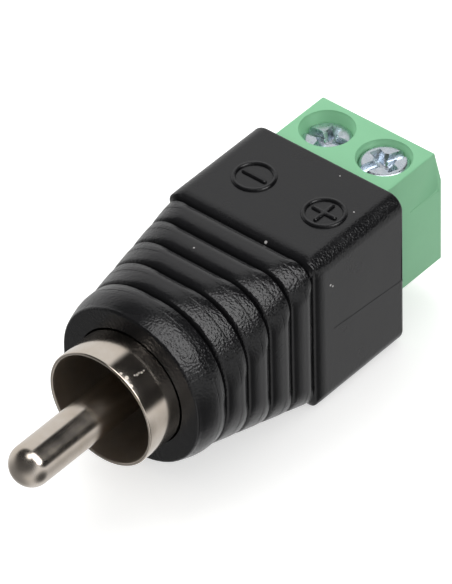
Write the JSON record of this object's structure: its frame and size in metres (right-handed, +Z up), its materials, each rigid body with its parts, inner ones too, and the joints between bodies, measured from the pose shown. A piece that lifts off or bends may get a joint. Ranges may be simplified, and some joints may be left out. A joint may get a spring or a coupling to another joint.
{
  "type": "rca plug",
  "caption": "Male phono plug with a ribbed moulded grip that runs from round to square, and a screw terminal for bare wires at its back.",
  "frame": {"origin": "middle of the bounding box's underside, on the plug's mid-plane", "axes": "+Y along the plug from the pin's tip to the wire face, +X to the right with the pin towards the viewer, +Z up through the screw heads"},
  "size_m": [0.0132, 0.0392, 0.0134],
  "materials": {
    "black_pvc": "satin moulded PVC",
    "nickel_plate": "bright nickel plate on brass",
    "satin_nickel": "satin nickel plate on brass",
    "black_insulator": "moulded plastic",
    "green_polyamide": "satin moulded polyamide",
    "zinc_plate": "bright zinc plate",
    "plated_cage": "nickel plate",
    "tinned_brass": "tin plate",
    "tinned_copper": "tinned copper wire"
  },
  "bodies": {
    "plug": {"grip_moulding": "black_pvc", "ground_barrel": "nickel_plate", "centre_pin": "satin_nickel", "pin_insulator": "black_insulator", "terminal_housing": "green_polyamide", "contact_bar_minus": "tinned_brass", "contact_bar_plus": "tinned_brass", "ground_lead": "tinned_copper", "signal_lead": "tinned_copper"},
    "screw_minus": {"clamp_screw_minus": "zinc_plate"},
    "screw_plus": {"clamp_screw_plus": "zinc_plate"},
    "cage_minus": {"wire_cage_minus": "plated_cage"},
    "cage_plus": {"wire_cage_plus": "plated_cage"}
  },
  "joints": [
    {"name": "screw_minus_turn", "type": "hinge", "parent": "plug", "child": "screw_minus", "pos_m": [-0.00254, 0.01634, 0.01051], "axis": [0, 0, -1], "range_deg": [0, 1441]},
    {"name": "screw_plus_turn", "type": "hinge", "parent": "plug", "child": "screw_plus", "pos_m": [0.00254, 0.01634, 0.01101], "axis": [0, 0, -1], "range_deg": [0, 1441]},
    {"name": "cage_minus_lift", "type": "slide", "parent": "plug", "child": "cage_minus", "axis": [0, 0, 1], "range_m": [0, 0.0018]},
    {"name": "cage_plus_lift", "type": "slide", "parent": "plug", "child": "cage_plus", "axis": [0, 0, 1], "range_m": [0, 0.0018]}
  ],
  "couplings": [
    {"joint": "screw_minus_turn", "follows": "cage_minus_lift", "rad_per_m": 13963},
    {"joint": "screw_plus_turn", "follows": "cage_plus_lift", "rad_per_m": 13963}
  ]
}
